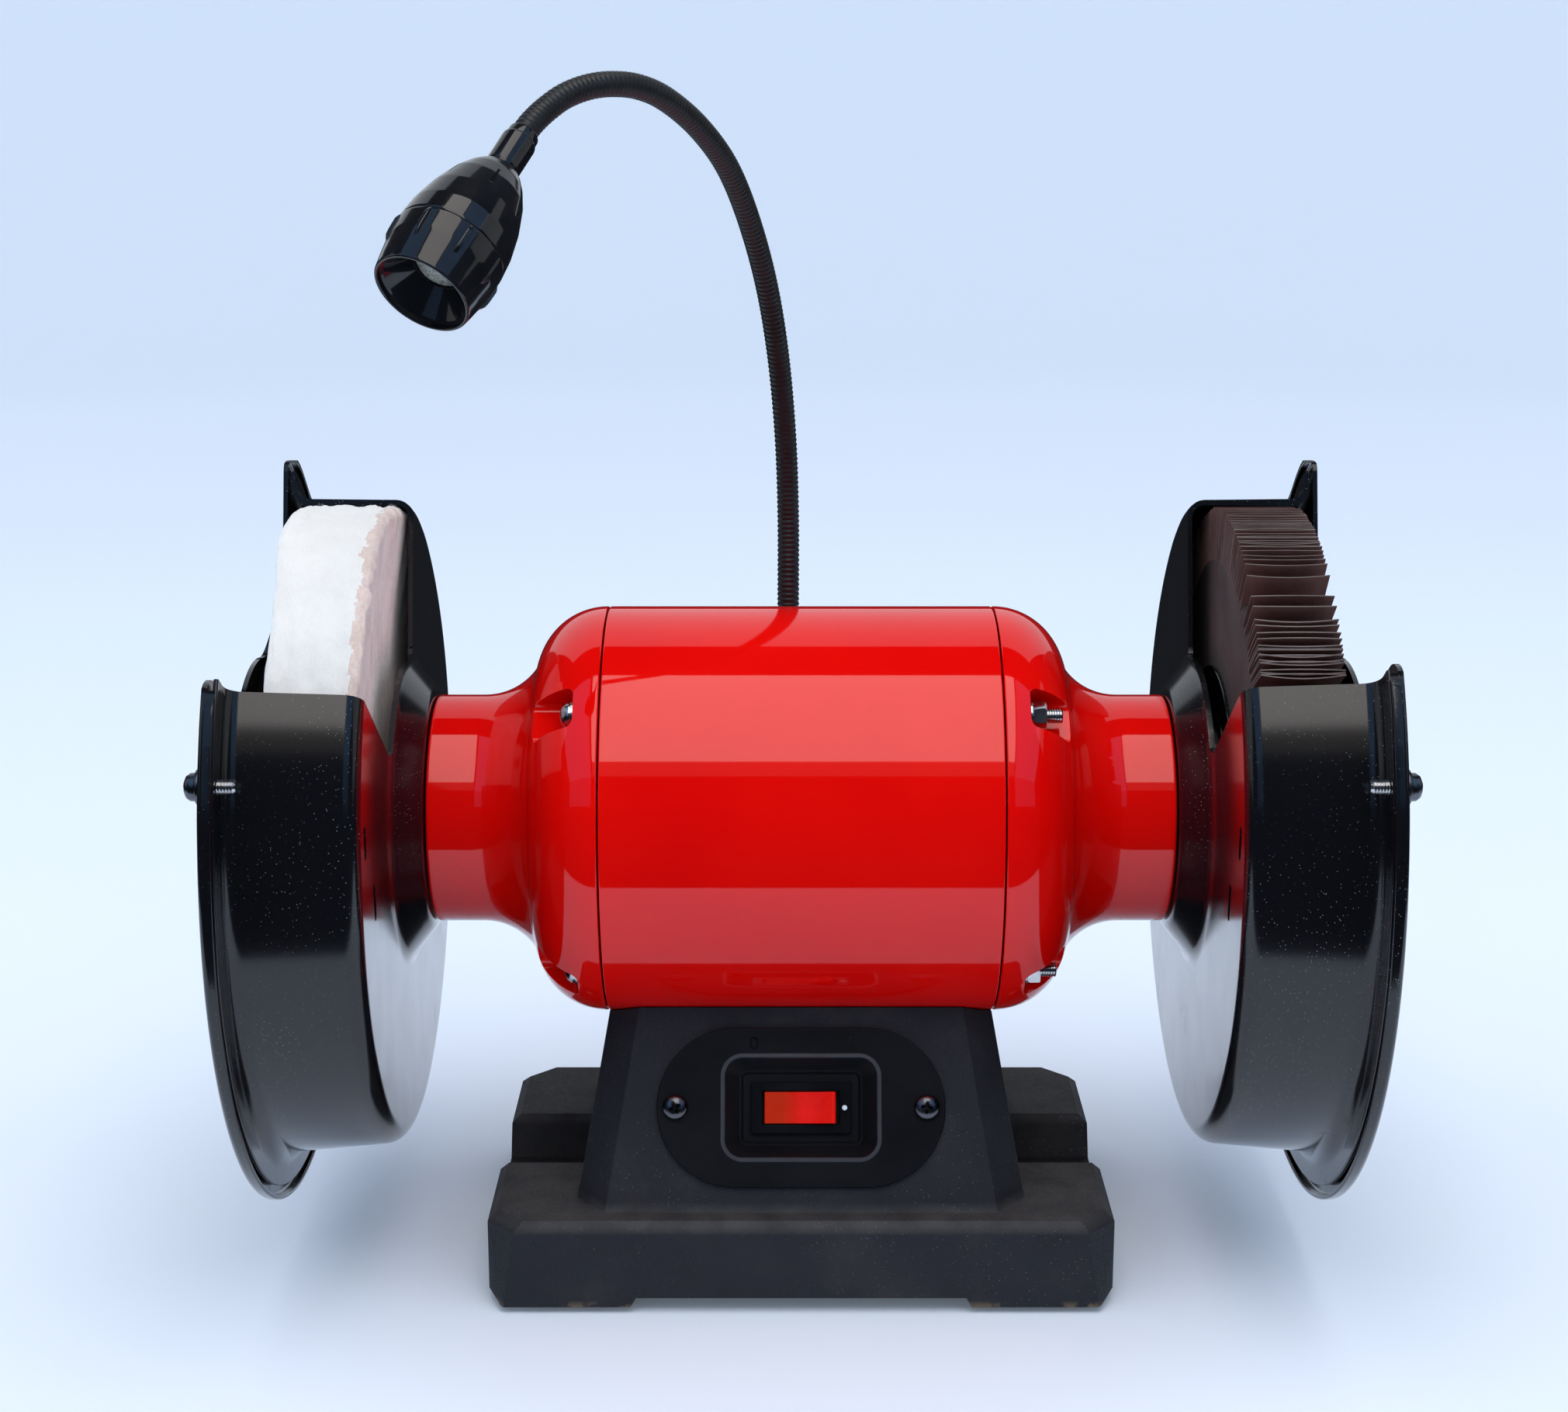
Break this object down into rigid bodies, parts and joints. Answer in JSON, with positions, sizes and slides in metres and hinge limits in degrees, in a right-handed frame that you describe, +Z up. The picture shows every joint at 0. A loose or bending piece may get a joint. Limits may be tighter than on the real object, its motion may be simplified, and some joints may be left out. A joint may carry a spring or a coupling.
{
  "type": "bench grinder",
  "caption": "Bench grinder and polisher: cloth buff and flap wheel in open-front guards on a round motor, cast base with a sloped switch panel, and a gooseneck lamp.",
  "frame": {"origin": "on the bench, under the centre of the motor and of the guards", "axes": "+X along the spindle towards the flap wheel, +Y to the back, +Z up; the switch faces -Y"},
  "size_m": [0.3772, 0.2559, 0.3879],
  "materials": {
    "red_paint": "gloss scarlet paint",
    "gloss_black": "gloss black powder coat",
    "cast_base": "fine-textured charcoal paint",
    "black_plastic": "fine-grained moulding",
    "gloss_plastic_black": "polished moulding",
    "red_plastic": "translucent red",
    "zinc": "bright zinc plate",
    "black_screw": "black oxide",
    "steel": "ground",
    "lamination": "stacked sheet",
    "copper": "enamelled wire",
    "rubber": "moulded",
    "gooseneck_sleeve": "ribbed sleeve",
    "cloth": "stitched cotton plies",
    "abrasive": "abrasive cloth leaves",
    "lens": "textured"
  },
  "bodies": {
    "grinder_frame": {"base_casting": "cast_base", "base_plate": "zinc", "cable_gland": "rubber", "capacitor": "black_plastic", "gooseneck_nut": "black_plastic", "lamp_bracket": "black_plastic", "left_bearing": "steel", "left_cover_screw_1": "black_screw", "left_cover_screw_2": "black_screw", "left_cover_screw_3": "black_screw", "left_end_bell": "red_paint", "left_guard": "gloss_black", "left_guard_cover": "gloss_black", "left_winding": "copper", "right_bearing": "steel", "right_cover_screw_1": "black_screw", "right_cover_screw_2": "black_screw", "right_cover_screw_3": "black_screw", "right_end_bell": "red_paint", "right_guard": "gloss_black", "right_guard_cover": "gloss_black", "right_winding": "copper", "rubber_foot_front_left": "rubber", "rubber_foot_front_right": "rubber", "rubber_foot_rear_left": "rubber", "rubber_foot_rear_right": "rubber", "stator_core": "lamination", "stator_housing": "red_paint", "switch_body": "black_plastic", "switch_plate": "black_plastic", "switch_plate_screw_left": "black_screw", "switch_plate_screw_right": "black_screw", "through_bolt_1": "zinc", "through_bolt_2": "zinc", "through_bolt_3": "zinc", "through_bolt_4": "zinc", "through_nut_1": "zinc", "through_nut_2": "zinc", "through_nut_3": "zinc", "through_nut_4": "zinc"},
    "spindle": {"spindle_shaft": "steel", "rotor_core": "lamination", "left_inner_flange": "zinc", "left_outer_flange": "zinc", "left_spindle_nut": "zinc", "right_inner_flange": "zinc", "right_outer_flange": "zinc", "right_spindle_nut": "zinc", "buff_wheel": "cloth", "flap_wheel_hub": "steel", "flap_wheel_leaves": "abrasive"},
    "rocker": {"switch_rocker": "red_plastic"},
    "gooseneck_root": {"gooseneck_lower": "gooseneck_sleeve"},
    "gooseneck_arch": {"gooseneck_middle": "gooseneck_sleeve"},
    "lamp_head": {"gooseneck_upper": "gooseneck_sleeve", "lamp_collar": "gloss_plastic_black", "lamp_shell": "gloss_plastic_black", "lamp_bezel": "gloss_plastic_black", "lamp_reflector": "gloss_plastic_black", "lamp_lens": "lens"}
  },
  "joints": [
    {"name": "spindle_turn", "type": "hinge", "parent": "grinder_frame", "child": "spindle", "pos_m": [0, 0, 0.149], "axis": [1, 0, 0], "continuous": true},
    {"name": "switch_rock", "type": "hinge", "parent": "grinder_frame", "child": "rocker", "pos_m": [0, -0.04515, 0.0606], "axis": [0, 0.3987, 0.9171], "range_deg": [0, 20]},
    {"name": "gooseneck_sway", "type": "hinge", "parent": "grinder_frame", "child": "gooseneck_root", "pos_m": [-0.004, 0.084, 0.171], "axis": [0, 1, 0], "range_deg": [-12, 12]},
    {"name": "gooseneck_lean", "type": "hinge", "parent": "gooseneck_root", "child": "gooseneck_arch", "pos_m": [-0.0075, 0.078, 0.29], "axis": [1, 0, 0], "range_deg": [-15, 15]},
    {"name": "gooseneck_curl", "type": "hinge", "parent": "gooseneck_arch", "child": "lamp_head", "pos_m": [-0.0576, -0.024, 0.384], "axis": [0.7327, -0.6805, 0], "range_deg": [-20, 20]}
  ]
}
